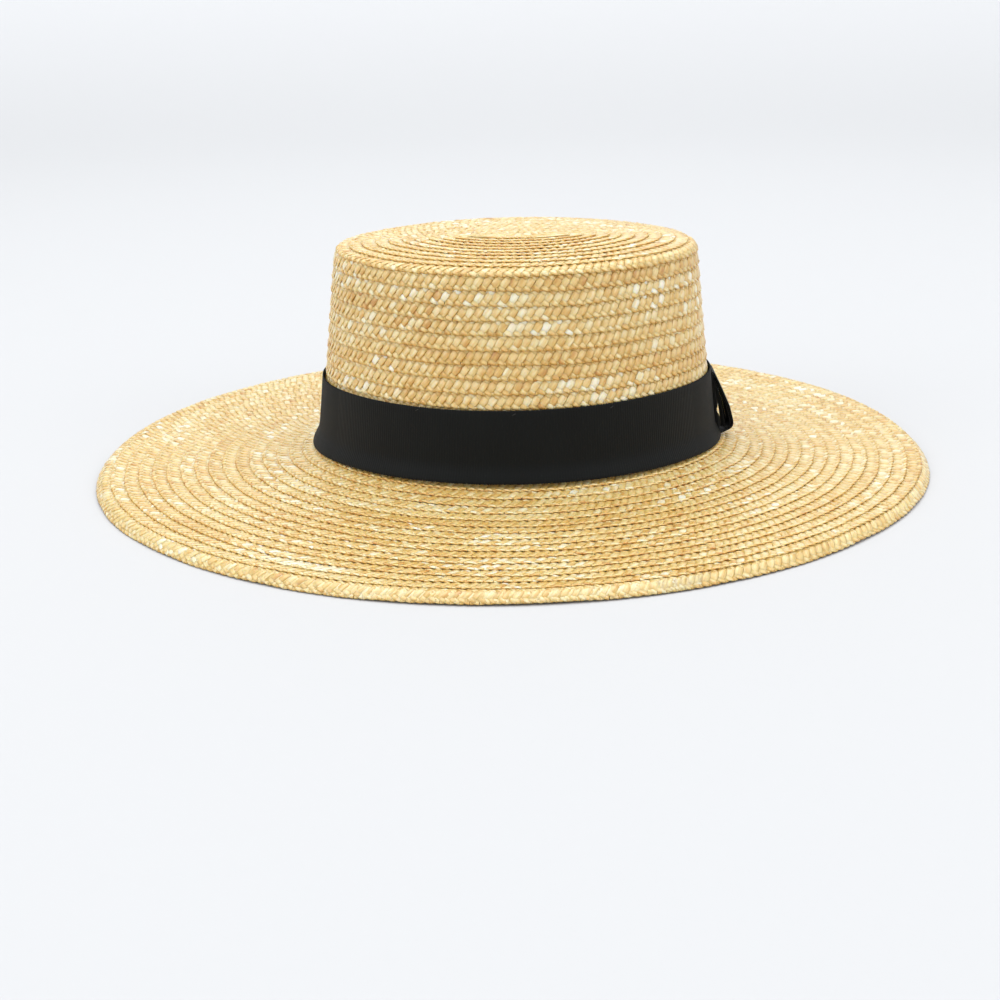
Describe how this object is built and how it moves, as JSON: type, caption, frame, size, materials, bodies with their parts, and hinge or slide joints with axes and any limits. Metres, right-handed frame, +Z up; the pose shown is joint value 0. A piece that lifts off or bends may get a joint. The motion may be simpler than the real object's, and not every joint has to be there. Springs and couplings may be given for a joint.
{
  "type": "straw sun hat",
  "caption": "Flat-topped oval straw hat with a wide, nearly flat brim of sewn plait, a black ribbon band and a ribbon knot at the back.",
  "frame": {"origin": "middle of the hat on the plane that its brim edge rests on", "axes": "+Z up through the crown, +Y from the wearer's forehead to the back of the head where the knot is, +X to the wearer's left"},
  "size_m": [0.3878, 0.426, 0.117],
  "materials": {
    "straw": "plaited wheat straw, satin gloss on each straw",
    "black_ribbon": "black grosgrain with fine cross ribs, matt",
    "sweatband_ribbon": "soft dark ribbed tape, matt",
    "straw_thread": "fine straw-coloured sewing thread",
    "black_thread": "fine black sewing thread"
  },
  "bodies": {
    "root": {"crown_tip": "straw", "crown_side": "straw", "brim_inner": "straw", "brim_outer": "straw", "brim_edge": "straw", "hat_band": "black_ribbon", "ribbon_knot": "black_ribbon", "knot_core": "black_ribbon", "sweatband": "sweatband_ribbon", "tip_thread": "straw_thread", "side_thread": "straw_thread", "brim_thread": "straw_thread", "sweatband_stitches": "straw_thread", "band_tacks": "black_thread"}
  },
  "joints": []
}
